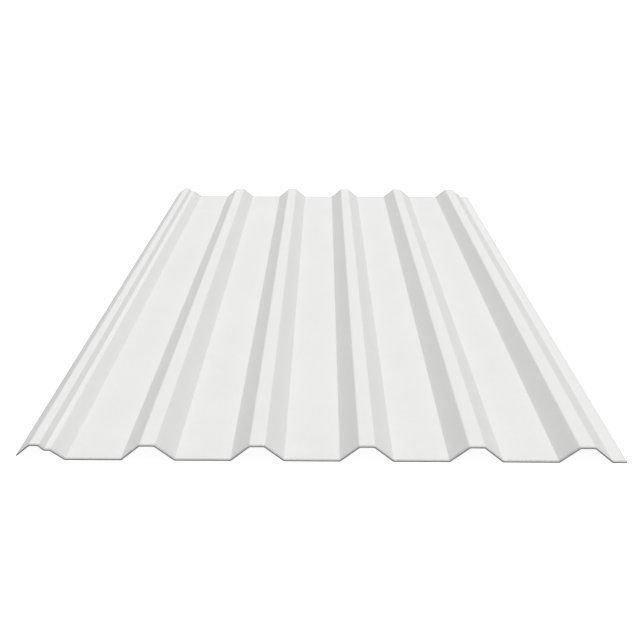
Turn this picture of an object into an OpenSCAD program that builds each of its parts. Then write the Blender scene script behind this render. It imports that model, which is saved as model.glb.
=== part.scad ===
// Trapezoidal fiberglass roofing sheet. One laminate of even thickness, pressed into
// full ribs with flat pans between them, a stepped lap rib along the left edge, and a
// flat lip along the right edge. The ribs run along Y, and the pans lie on z = 0.

/* [Sheet] */
// Length of the sheet, along the ribs
sheet_length = 1830; // [600:10:6000]
// Thickness of the laminate
sheet_t = 2.5; // [1:0.1:3]
// Radius of every bend, at mid-thickness
bend_r = 5; // [3:0.5:8]

/* [Ribs] */
// Number of ribs, with the lap rib
rib_count = 6; // [2:1:10]
// Distance from one rib to the next
rib_pitch = 200; // [140:5:350]
// Height from a pan to a crown
rib_h = 30; // [24:1:45]
// Width of a full rib's crown, from bend to bend
crown_w = 27; // [24:1:50]
// Width of a full rib's foot, from bend to bend
foot_w = 98; // [80:1:125]

/* [Lap rib] */
// Width of the crown that the drain step leaves on the lap rib
lap_crown_w = 16; // [12:1:20]
// Depth of the drain step below the crown
step_h = 10; // [6:1:14]
// Sideways run of the step's slope
step_run = 10; // [6:1:12]
// Clearance of the inner flank, at the shelf, inside a covering rib's flank
lap_clearance = 2.5; // [0:0.5:4]
// Height of the lap rib's free edge above the pans
free_edge_h = 8; // [0:1:14]

/* [Lip] */
// Width of the flat lip beyond the last rib
lip_w = 26; // [10:1:60]

/* [Hidden] */

// Flat facets in each rounded bend
bend_facets = 6;
// Run of a flank for each millimetre of its height
flank_slope = (foot_w - crown_w) / (2 * rib_h);
// Middle of the lap rib, which centres the cover width on x = 0
lap_rib_x = -rib_pitch * (rib_count - 1) / 2;

// Corners of a rib about its own middle, from left to right, as [x, height]
full_rib = [
    [-foot_w / 2, 0],
    [-crown_w / 2, rib_h],
    [crown_w / 2, rib_h],
    [foot_w / 2, 0]
];

// The lap rib's left flank is a full rib's, stopped short. Its right half steps down
// to a shelf, which leaves a drain channel under the next sheet, and its right flank
// leans in from its foot, so that the rib of the next sheet clears it.
lap_rib = [
    [-crown_w / 2 - (rib_h - free_edge_h) * flank_slope, free_edge_h],
    [-crown_w / 2, rib_h],
    [-crown_w / 2 + lap_crown_w, rib_h],
    [-crown_w / 2 + lap_crown_w + step_run, rib_h - step_h],
    [crown_w / 2 + step_h * flank_slope - lap_clearance, rib_h - step_h],
    [foot_w / 2, 0]
];

// Corners of the whole section, from the free edge to the edge of the lip
function shifted(points, x) = [for (p = points) p + [x, 0]];
full_ribs = [
    for (i = [1 : rib_count - 1])
        each shifted(full_rib, lap_rib_x + i * rib_pitch)
];
lip_edge = [lap_rib_x + (rib_count - 1) * rib_pitch + foot_w / 2 + lip_w, 0];
corners = concat(shifted(lap_rib, lap_rib_x), full_ribs, [lip_edge]);
last = len(corners) - 1;

// Direction of the line from one point to the next, in degrees, and its left normal
function heading(a, b) = atan2(b.y - a.y, b.x - a.x);
function normal(angle) = [-sin(angle), cos(angle)];

// One face of a rounded bend at corner b, at distance d to the left of mid-thickness.
// Both faces of the laminate turn about the same centre, so its thickness stays even.
function bend(a, b, c, d) =
    let (
        start = heading(a, b),
        turn = heading(b, c) - start,
        side = sign(turn),
        centre = b - bend_r * tan(abs(turn) / 2) * [cos(start), sin(start)]
            + side * bend_r * normal(start)
    )
    [for (i = [0 : bend_facets])
        centre + (d - side * bend_r) * normal(start + turn * i / bend_facets)];

// One whole face of the laminate, at distance d above mid-thickness
function face(d) = concat(
    [corners[0] + d * normal(heading(corners[0], corners[1]))],
    [for (i = [1 : last - 1]) each bend(corners[i - 1], corners[i], corners[i + 1], d)],
    [corners[last] + d * normal(heading(corners[last - 1], corners[last]))]
);

function reversed(points) = [for (i = [len(points) - 1 : -1 : 0]) points[i]];

module section() {
    translate([0, sheet_t / 2])
        polygon(concat(face(sheet_t / 2), reversed(face(-sheet_t / 2))));
}

module roofing_sheet() {
    color([0.93, 0.93, 0.92])
        rotate([90, 0, 0])
            linear_extrude(height = sheet_length, center = true)
                section();
}

roofing_sheet();
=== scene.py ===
"""Looks of a white trapezoidal fiberglass roofing sheet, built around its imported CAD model.

The CAD sheet gives the section. A finer mesh of the same section stands for it, with
smooth bends, pans that wave a little, and faces of their own for the sawn edges.
Lengths are in metres.
"""

import math

import bmesh
import bpy
from mathutils import Matrix, Vector, noise


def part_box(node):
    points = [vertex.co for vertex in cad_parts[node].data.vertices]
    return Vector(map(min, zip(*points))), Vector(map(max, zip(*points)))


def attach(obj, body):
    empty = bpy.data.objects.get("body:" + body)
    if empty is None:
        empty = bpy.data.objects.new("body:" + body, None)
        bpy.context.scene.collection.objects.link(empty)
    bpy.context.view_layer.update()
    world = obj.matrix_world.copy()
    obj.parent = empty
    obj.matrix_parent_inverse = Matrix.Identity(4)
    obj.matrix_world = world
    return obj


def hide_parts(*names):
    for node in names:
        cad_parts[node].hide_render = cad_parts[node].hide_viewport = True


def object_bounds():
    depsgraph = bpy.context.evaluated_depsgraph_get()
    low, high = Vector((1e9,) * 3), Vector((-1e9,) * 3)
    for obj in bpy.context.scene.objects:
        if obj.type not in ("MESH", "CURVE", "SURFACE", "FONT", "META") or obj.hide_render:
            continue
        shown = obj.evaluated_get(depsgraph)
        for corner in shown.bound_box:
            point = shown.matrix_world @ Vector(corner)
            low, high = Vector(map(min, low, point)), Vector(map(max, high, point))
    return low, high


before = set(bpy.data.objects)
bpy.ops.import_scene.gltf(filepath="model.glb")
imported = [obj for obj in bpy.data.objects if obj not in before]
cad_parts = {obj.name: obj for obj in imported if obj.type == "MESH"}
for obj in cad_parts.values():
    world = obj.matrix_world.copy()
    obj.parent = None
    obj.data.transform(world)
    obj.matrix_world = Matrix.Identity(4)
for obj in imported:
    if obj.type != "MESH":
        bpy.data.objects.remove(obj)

cad_low, cad_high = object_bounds()

NODE = "roofing_sheet"
PIECE = "sheet_visual"

# The sheet's materials, in the order of its slots, and its cut edges
ABOVE, BELOW, CUT = range(3)
CUT_EDGES = NEAR, FAR, LEFT, RIGHT = range(4)

# Its two maps: real lengths along the section and the sheet, for the patterns, and the
# layout that textures are drawn on
LENGTH_MAP = "Developed"
TEXTURE_MAP = "OFBake"

# Corners of the CAD mesh count as one at this distance, and level at this many decimals
SAME_PLACE = 1e-6
LEVEL_DIGITS = 5

# About how wide and how long a face of the finer mesh is
CROSS_STEP = 0.012
LENGTH_STEP = 0.018

# How the pans wave: the most lift, its share where the noise is 0, and the noise's steps
# to a metre
PAN_WAVE = 0.0005
WAVE_MIDDLE = 0.5
WAVE_ACROSS = 2.2
WAVE_ALONG = 3.1

# Layout of the map for textures, as shares of its side
TOP_SHARE = 0.6
EDGE_STRIP = 0.008
MAP_GAP = 0.004

# Chopped glass strands, which lie in the laminate in every direction. Each layer holds
# strands of one direction. It is shifted and turned from the one below, not quite evenly.
STRAND_LAYERS = 9
STRAND_ALONG = 0.15
STRAND_ACROSS = 0.0036
STRAND_SHARE = 0.17
STRAND_BLUR = 0.06
STRAND_SQUARE = 4.0
STRAND_BEND = 0.01
BEND_LENGTH = 0.06
LAYER_SHIFT = (0.37, -0.53)
TURN_UNEVEN = 0.3
TURN_PHASE = 5.0

# Other marks of the surface: orange peel, lines drawn along the sheet, soft mottling
PEEL_SIZE = 0.007
DRAWN_ACROSS = 0.02
DRAWN_ALONG = 1.2
MOTTLE_SIZE = 0.14

# How fine the noise is, and the range that it hardly leaves
CLOUD_DETAIL = 2.0
MOTTLE_DETAIL = 4.0
NOISE_RANGE = (0.3, 0.7)

# The band along each cut end, where the surface is chipped and then whitened. The chips
# reach a share of CHIP_WIDTH that varies, and fade out round there. A long edge is
# trimmed more finely, so its band is FINER_TRIM times narrower.
CHIP_WIDTH = 0.0045
CHIP_REACH = (0.4, 1.6)
CHIP_FADE = (0.8, 1.1)
CHIP_SIZE = 0.0016
CHIP_GREY = (0.54, 0.54, 0.535)
WHITENED_WIDTH = 0.0085
WHITENED = 1.035
FINER_TRIM = 5.0

# The sawn edge shows the laminate's layers and the pale ends of its strands
SAWN_GREY = (0.55, 0.55, 0.545)
SAWN_ROUGH = 0.85
SAWN_RELIEF = 0.0002
LAYER_ALONG = 0.02
LAYER_HIGH = 0.0006
LAYER_SHADE = (0.8, 1.2)
LAYER_SEED = 5.0
FIBRE_WIDE = 0.0012
FIBRE_HIGH = FIBRE_WIDE / 3
FIBRE_SHOWS = (0.5, 0.75)
FIBRE_SHADE = (0.9, 1.3)
FIBRE_SEED = 9.0

# Finish of each face. Painted shade: a pan is painted a little darker than a crown, and a
# flank darker again, darkest where the upward part of the normal is down to FLANK_NORMAL.
IOR = 1.5
SPECULAR = 0.2
ROUGH_SPREAD = 0.04
PAN_PAINTED_SHADE = 0.035
FLANK_PAINTED_SHADE = 0.118
FLANK_NORMAL = 0.70
TOP = {"colour": (0.839, 0.838, 0.832), "roughness": 0.68, "strand_relief": 0.0003,
       "strand_tint": 0.06, "peel_relief": 0.00002, "mottle": 0.006, "seed": 3.0}
UNDERSIDE = {"colour": (0.82, 0.82, 0.805), "roughness": 0.62, "strand_relief": 0.0007,
             "strand_tint": 0.14, "peel_relief": 0.00006, "mottle": 0.03, "seed": 17.0}

# Stage
WHITE = (1.0, 1.0, 1.0, 1.0)
FLOOR_SIZE = 60.0
FLOOR_GREY = 0.55
FLOOR_GLOW = 0.92
SKY_GREY = 0.2
KEY_LEVEL = 2.66
KEY_SPREAD = math.radians(30.0)
KEY_FROM = Vector((0.125, 0.35, 0.93))

# Camera, in front of the near cut end and above it
SENSOR_MM = 36.0
LENS_MM = 46.366875
CAMERA_AT = Vector((0.0178, -2.1898, 0.8396))
CAMERA_DOWN = math.radians(23.616)
CAMERA_TURN = math.radians(-0.188)
CAMERA_ROLL = math.radians(0.206)


# ---------------------------------------------------------------- section and mesh

def end_outline(cad):
    """The section's outline as (x, z) points, from the CAD mesh's near end. It starts at
    the lip's upper corner, runs over the upper face, and comes back below."""
    bm = bmesh.new()
    bm.from_mesh(cad.data)
    bmesh.ops.remove_doubles(bm, verts=bm.verts, dist=SAME_PLACE)
    near = min(v.co.y for v in bm.verts)

    def on_near_end(face):
        return all(abs(v.co.y - near) < SAME_PLACE for v in face.verts)

    follows = {}
    for edge in bm.edges:
        if sum(on_near_end(face) for face in edge.link_faces) == 1:
            a, b = edge.verts
            follows.setdefault(a, []).append(b)
            follows.setdefault(b, []).append(a)
    start = max(follows, key=lambda v: (round(v.co.x, LEVEL_DIGITS), v.co.z))
    below = max(follows, key=lambda v: (round(v.co.x, LEVEL_DIGITS), -v.co.z))
    loop = [start]
    step = next(v for v in follows[start] if v is not below)
    while step is not start:
        loop.append(step)
        step = next(v for v in follows[step] if v is not loop[-2])
    points = [(v.co.x, v.co.z) for v in loop]
    bm.free()
    return points


def refine(top, under):
    """Adds points along the flat stretches of both faces, at the same places on each."""
    fine_top, fine_under = [top[0]], [under[0]]
    for i in range(1, len(top)):
        stretch = math.dist(top[i - 1], top[i])
        cuts = max(1, round(stretch / CROSS_STEP))
        for k in range(1, cuts + 1):
            for fine, face in ((fine_top, top), (fine_under, under)):
                (xa, za), (xb, zb) = face[i - 1], face[i]
                fine.append((xa + (xb - xa) * k / cuts, za + (zb - za) * k / cuts))
    return fine_top, fine_under


def pan_lift(x, y, z):
    """How far the sheet stands off the floor there: pans wave a little, crowns don't."""
    wave = noise.noise(Vector((x * WAVE_ACROSS, y * WAVE_ALONG, 0.0)))
    share = 1.0 - (z - cad_low.z) / (cad_high.z - cad_low.z)
    return PAN_WAVE * max(0.0, min(1.0, WAVE_MIDDLE + wave)) * max(0.0, share)


def developed(points):
    """Distance along the section to each of its points."""
    along = [0.0]
    for a, b in zip(points, points[1:]):
        along.append(along[-1] + math.dist(a, b))
    return along


class Layout:
    """Where each face lies on the map for textures: the upper face beside the lower one,
    over a strip for each of the four cut edges."""

    def __init__(self, girth, low, high, thick):
        self.girth, self.low, self.thick = girth, low, thick
        self.length = high.y - low.y
        self.strips = len(CUT_EDGES) * (EDGE_STRIP + MAP_GAP)

    def on_face(self, point, lower):
        left, share = (TOP_SHARE, 1.0 - TOP_SHARE) if lower else (0.0, TOP_SHARE)
        u = left + (share - MAP_GAP) * point[0] / self.girth
        v = self.strips + (1.0 - self.strips) * (point[1] - self.low.y) / self.length
        return u, v

    def on_strip(self, point, edge):
        on_end = edge in (NEAR, FAR)
        u = point[0] / self.girth if on_end else (point[0] - self.low.y) / self.length
        v = edge * (EDGE_STRIP + MAP_GAP) + EDGE_STRIP * point[1] / self.thick
        return u, v


def build_sheet(top, under, across, low, high):
    """The sheet as one closed mesh, with its three materials' numbers and its two maps."""
    thick = math.dist(top[0], under[0])
    layout = Layout(across[-1], low, high, thick)
    stations = max(2, round((high.y - low.y) / LENGTH_STEP))
    rows = [low.y + (high.y - low.y) * j / stations for j in range(stations + 1)]

    bm = bmesh.new()
    length_map = bm.loops.layers.uv.new(LENGTH_MAP)
    texture_map = bm.loops.layers.uv.new(TEXTURE_MAP)

    def place(x, y, z):
        return bm.verts.new((x, y, z + pan_lift(x, y, z)))

    above = [[place(x, y, z) for x, z in top] for y in rows]
    below = [[place(x, y, z) for x, z in under] for y in rows]

    def face(corners, material, places, spots):
        made = bm.faces.new(corners)
        made.material_index = material
        made.smooth = material != CUT
        for corner, along, spot in zip(made.loops, places, spots):
            corner[length_map].uv = along
            corner[texture_map].uv = spot

    def cut_face(lower, upper, start, end, edge):
        """A face of a cut edge, between two neighbours below and the two above them."""
        places = [(start, 0.0), (end, 0.0), (end, thick), (start, thick)]
        spots = [layout.on_strip(p, edge) for p in places]
        face([lower[0], lower[1], upper[1], upper[0]], CUT, places, spots)

    for j in range(stations):
        for i in range(len(top) - 1):
            places = [(across[i], rows[j]), (across[i + 1], rows[j]),
                      (across[i + 1], rows[j + 1]), (across[i], rows[j + 1])]
            for material, verts in ((ABOVE, above), (BELOW, below)):
                corners = [verts[j][i], verts[j][i + 1], verts[j + 1][i + 1], verts[j + 1][i]]
                spots = [layout.on_face(p, lower=material == BELOW) for p in places]
                face(corners, material, places, spots)
        for i, edge in ((0, LEFT), (-1, RIGHT)):
            cut_face((below[j][i], below[j + 1][i]), (above[j][i], above[j + 1][i]),
                     rows[j], rows[j + 1], edge)
    for j, edge in ((0, NEAR), (-1, FAR)):
        for i in range(len(top) - 1):
            cut_face(below[j][i:i + 2], above[j][i:i + 2], across[i], across[i + 1], edge)
    bmesh.ops.recalc_face_normals(bm, faces=bm.faces)
    for edge in bm.edges:
        edge.smooth = len({f.material_index for f in edge.link_faces}) == 1
    mesh = bpy.data.meshes.new(PIECE)
    bm.to_mesh(mesh)
    bm.free()
    sheet = bpy.data.objects.new(PIECE, mesh)
    bpy.context.scene.collection.objects.link(sheet)
    return sheet


# ---------------------------------------------------------------- shader nodes

def add(tree, kind, inputs=None, **settings):
    """A new node. Its inputs are given as numbers, colours or the sockets to link."""
    node = tree.nodes.new("ShaderNode" + kind)
    for name, value in settings.items():
        setattr(node, name, value)
    for key, value in (inputs or {}).items():
        if isinstance(value, bpy.types.NodeSocket):
            tree.links.new(value, node.inputs[key])
        else:
            node.inputs[key].default_value = value
    return node


def maths(tree, operation, a, b=0.0):
    return add(tree, "Math", {0: a, 1: b}, operation=operation).outputs[0]


def span(tree, value, start, end, low=0.0, high=1.0):
    """Goes smoothly from low to high as the value goes from start to end."""
    node = add(tree, "MapRange", {"Value": value, "From Min": start, "From Max": end,
                                  "To Min": low, "To Max": high},
               interpolation_type="SMOOTHSTEP")
    return node.outputs["Result"]


def mixed(tree, share, first, second):
    """A colour that goes from the first to the second as the share goes from 0 to 1."""
    return add(tree, "Mix", {0: share, 6: first, 7: second}, data_type="RGBA").outputs[2]


def stretched(tree, value, low, high):
    """Goes smoothly from low to high over the range that noise keeps to."""
    return span(tree, value, *NOISE_RANGE, low, high)


def cloud(tree, place, sizes, seed, detail=CLOUD_DETAIL):
    """Noise from 0 to 1, whose lumps have these sizes across and along."""
    moved = add(tree, "Mapping", {"Vector": place, "Location": (seed, -seed, 0.0),
                                  "Scale": (*sizes, 1.0)}, vector_type="TEXTURE")
    node = add(tree, "TexNoise", {"Vector": moved.outputs[0], "Scale": 1.0, "Detail": detail},
               noise_dimensions="2D")
    return node.outputs[0]


def tinted(tree, colour, factor):
    """The colour, made lighter or darker by a factor."""
    return add(tree, "VectorMath", {0: colour, "Scale": factor}, operation="SCALE").outputs[0]


def grey(level):
    return (level, level, level, 1.0)


# ---------------------------------------------------------------- materials

def new_material(name, roughness):
    material = bpy.data.materials.new(name)
    material.use_nodes = True
    shader = material.node_tree.nodes["Principled BSDF"]
    shader.inputs["Roughness"].default_value = roughness
    shader.inputs["IOR"].default_value = IOR
    shader.inputs["Specular IOR Level"].default_value = SPECULAR
    return material, material.node_tree, shader


def raise_surface(tree, shader, height):
    """Gives the surface a relief, whose height is in metres."""
    bump = add(tree, "Bump", {"Distance": 1.0, "Height": height})
    tree.links.new(bump.outputs[0], shader.inputs["Normal"])


def strands(tree, place, seed):
    """From 0 to 1, how many of the strand layers have a strand at each point."""
    drift = cloud(tree, place, (BEND_LENGTH, BEND_LENGTH), seed)
    bend = maths(tree, "MULTIPLY", drift, STRAND_BEND)
    wavy = add(tree, "VectorMath", {0: place, 1: bend}, operation="ADD").outputs[0]
    total = 0.0
    for k in range(STRAND_LAYERS):
        turn = math.pi * (k + TURN_UNEVEN * math.sin(TURN_PHASE * k)) / STRAND_LAYERS
        laid = add(tree, "Mapping", {
            "Vector": wavy,
            "Location": (seed + LAYER_SHIFT[0] * k, seed + LAYER_SHIFT[1] * k, 0.0),
            "Rotation": (0.0, 0.0, turn),
            "Scale": (STRAND_ALONG, STRAND_ACROSS, 1.0)}, vector_type="TEXTURE")
        cell = add(tree, "TexVoronoi",
                   {"Vector": laid.outputs[0], "Scale": 1.0, "Exponent": STRAND_SQUARE},
                   voronoi_dimensions="2D", distance="MINKOWSKI")
        layer = span(tree, cell.outputs["Distance"], STRAND_SHARE - STRAND_BLUR,
                     STRAND_SHARE + STRAND_BLUR, 1.0 / STRAND_LAYERS, 0.0)
        total = maths(tree, "ADD", total, layer)
    return total


def cut_distance(tree, place, girth, length):
    """How far a point of a face lies from the nearest cut. A long edge counts as further
    off than it is, because its band of chips is narrower."""
    parts = add(tree, "SeparateXYZ", {0: place}).outputs
    to_end = maths(tree, "SUBTRACT", length / 2, maths(tree, "ABSOLUTE", parts["Y"]))
    to_side = maths(tree, "MINIMUM", parts["X"], maths(tree, "SUBTRACT", girth, parts["X"]))
    return maths(tree, "MINIMUM", to_end, maths(tree, "MULTIPLY", to_side, FINER_TRIM))


def painted_pan_and_flank_shade(tree):
    """Painted shade, a factor on the colour: 1 on crowns, a little less in the low pans, and
    less again on the flanks.
    """
    geometry = add(tree, "NewGeometry").outputs
    height = add(tree, "SeparateXYZ", {0: geometry["Position"]}).outputs["Z"]
    facing = add(tree, "SeparateXYZ", {0: geometry["Normal"]}).outputs["Z"]
    # painted shade: the lower a face lies, the darker, so the pans are darker than the crowns
    painted_pan_shade = span(tree, height, cad_low.z, cad_high.z, 1.0 - PAN_PAINTED_SHADE, 1.0)
    level = maths(tree, "ABSOLUTE", facing)
    # painted shade: the steeper a face, the darker, down to FLANK_NORMAL
    painted_flank_shade = span(tree, level, FLANK_NORMAL, 1.0, 1.0 - FLANK_PAINTED_SHADE, 1.0)
    return maths(tree, "MINIMUM", painted_pan_shade, painted_flank_shade)


def laminate(name, girth, length, colour, roughness, strand_relief, strand_tint,
             peel_relief, mottle, seed):
    """Polyester over chopped glass strands, which show through its surface a little."""
    material, tree, shader = new_material(name, roughness)
    place = add(tree, "UVMap", uv_map=LENGTH_MAP).outputs[0]
    glass = strands(tree, place, seed)
    peel = cloud(tree, place, (PEEL_SIZE, PEEL_SIZE), seed)
    drawn = cloud(tree, place, (DRAWN_ACROSS, DRAWN_ALONG), seed)
    patches = cloud(tree, place, (MOTTLE_SIZE, MOTTLE_SIZE), seed, MOTTLE_DETAIL)
    distance = cut_distance(tree, place, girth, length)

    shade = stretched(tree, patches, 1.0 - mottle, 1.0 + mottle)
    shade = maths(tree, "SUBTRACT", shade, maths(tree, "MULTIPLY", glass, strand_tint))
    # painted shade on pans and flanks, from the height and slope of each face
    shade = maths(tree, "MULTIPLY", shade, painted_pan_and_flank_shade(tree))
    whitened = span(tree, distance, CHIP_WIDTH, WHITENED_WIDTH, WHITENED, 1.0)
    shade = maths(tree, "MULTIPLY", shade, whitened)

    ragged = cloud(tree, place, (CHIP_SIZE, CHIP_SIZE), seed)
    reach = stretched(tree, ragged, *(share * CHIP_WIDTH for share in CHIP_REACH))
    chipped = span(tree, maths(tree, "DIVIDE", distance, reach), *CHIP_FADE, 1.0, 0.0)
    surface = mixed(tree, chipped, tinted(tree, colour, shade), (*CHIP_GREY, 1.0))
    tree.links.new(surface, shader.inputs["Base Color"])

    rough = stretched(tree, peel, roughness - ROUGH_SPREAD, roughness + ROUGH_SPREAD)
    rougher = maths(tree, "MULTIPLY", chipped, SAWN_ROUGH - roughness)
    tree.links.new(maths(tree, "ADD", rough, rougher), shader.inputs["Roughness"])

    relief = maths(tree, "MULTIPLY", glass, strand_relief)
    waves = maths(tree, "MULTIPLY", maths(tree, "ADD", peel, drawn), peel_relief)
    raise_surface(tree, shader, maths(tree, "ADD", relief, waves))
    return material


def sawn_edge(name):
    """Cut laminate: dull layers of resin, with the pale ends of glass strands."""
    material, tree, shader = new_material(name, SAWN_ROUGH)
    place = add(tree, "UVMap", uv_map=LENGTH_MAP).outputs[0]
    layers = cloud(tree, place, (LAYER_ALONG, LAYER_HIGH), LAYER_SEED)
    ends = cloud(tree, place, (FIBRE_WIDE, FIBRE_HIGH), FIBRE_SEED)
    shade = maths(tree, "MULTIPLY", stretched(tree, layers, *LAYER_SHADE),
                  span(tree, ends, *FIBRE_SHOWS, *FIBRE_SHADE))
    tree.links.new(tinted(tree, SAWN_GREY, shade), shader.inputs["Base Color"])
    raise_surface(tree, shader, maths(tree, "MULTIPLY", ends, SAWN_RELIEF))
    return material


# ---------------------------------------------------------------- stage

def seen(tree):
    """1 for what the eye sees, straight, mirrored or through glass, and 0 for light."""
    rays = add(tree, "LightPath").outputs
    either = maths(tree, "MAXIMUM", rays["Is Camera Ray"], rays["Is Glossy Ray"])
    return maths(tree, "MAXIMUM", either, rays["Is Transmission Ray"])


def stage_floor():
    """A pale floor that looks white, and still takes the sheet's shadow."""
    bpy.ops.mesh.primitive_plane_add(size=FLOOR_SIZE, location=(0.0, 0.0, cad_low.z))
    floor = bpy.context.object
    floor.name = "floor"
    material = bpy.data.materials.new("floor")
    material.use_nodes = True
    tree = material.node_tree
    shader = tree.nodes["Principled BSDF"]
    shader.inputs["Base Color"].default_value = grey(FLOOR_GREY)
    shader.inputs["Roughness"].default_value = 1.0
    shader.inputs["Specular IOR Level"].default_value = 0.0
    shader.inputs["Emission Color"].default_value = WHITE
    glow = maths(tree, "MULTIPLY", seen(tree), FLOOR_GLOW)
    tree.links.new(glow, shader.inputs["Emission Strength"])
    floor.data.materials.append(material)


def studio_world():
    """A white backdrop, which gives the sheet only a little light."""
    world = bpy.data.worlds.new("studio")
    bpy.context.scene.world = world
    world.use_nodes = True
    tree = world.node_tree
    sky = mixed(tree, seen(tree), grey(SKY_GREY), WHITE)
    tree.links.new(sky, tree.nodes["Background"].inputs["Color"])


def key_light():
    """One broad lamp, high up and a little behind the sheet."""
    lamp = bpy.data.lights.new("key", "SUN")
    lamp.energy = KEY_LEVEL
    lamp.angle = KEY_SPREAD
    key = bpy.data.objects.new("key", lamp)
    key.rotation_euler = KEY_FROM.to_track_quat("Z", "Y").to_euler()
    bpy.context.scene.collection.objects.link(key)


def camera():
    """The camera, from its place and its turns about each axis."""
    data = bpy.data.cameras.new("camera")
    data.sensor_width = SENSOR_MM
    data.lens = LENS_MM
    eye = bpy.data.objects.new("camera", data)
    ahead = Vector((math.sin(CAMERA_TURN) * math.cos(CAMERA_DOWN),
                    math.cos(CAMERA_TURN) * math.cos(CAMERA_DOWN),
                    -math.sin(CAMERA_DOWN)))
    level = ahead.cross(Vector((0.0, 0.0, 1.0))).normalized()
    right = level * math.cos(CAMERA_ROLL) + level.cross(ahead) * math.sin(CAMERA_ROLL)
    turn = Matrix((right, right.cross(ahead), -ahead)).transposed()
    eye.matrix_world = Matrix.Translation(CAMERA_AT) @ turn.to_4x4()
    bpy.context.scene.collection.objects.link(eye)
    bpy.context.scene.camera = eye


# ---------------------------------------------------------------- the sheet and its stage

outline = end_outline(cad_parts[NODE])
half = len(outline) // 2
top_points, under_points = refine(outline[:half][::-1], outline[half:])
across_points = developed(top_points)
sheet_low, sheet_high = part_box(NODE)
girth_and_length = across_points[-1], sheet_high.y - sheet_low.y

sheet = build_sheet(top_points, under_points, across_points, sheet_low, sheet_high)
sheet.data.materials.append(laminate("white_top", *girth_and_length, **TOP))
sheet.data.materials.append(laminate("white_underside", *girth_and_length, **UNDERSIDE))
sheet.data.materials.append(sawn_edge("sawn_edge"))
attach(sheet, "root")
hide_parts(NODE)

stage_floor()
studio_world()
key_light()
camera()
bpy.context.scene.view_settings.view_transform = "Standard"
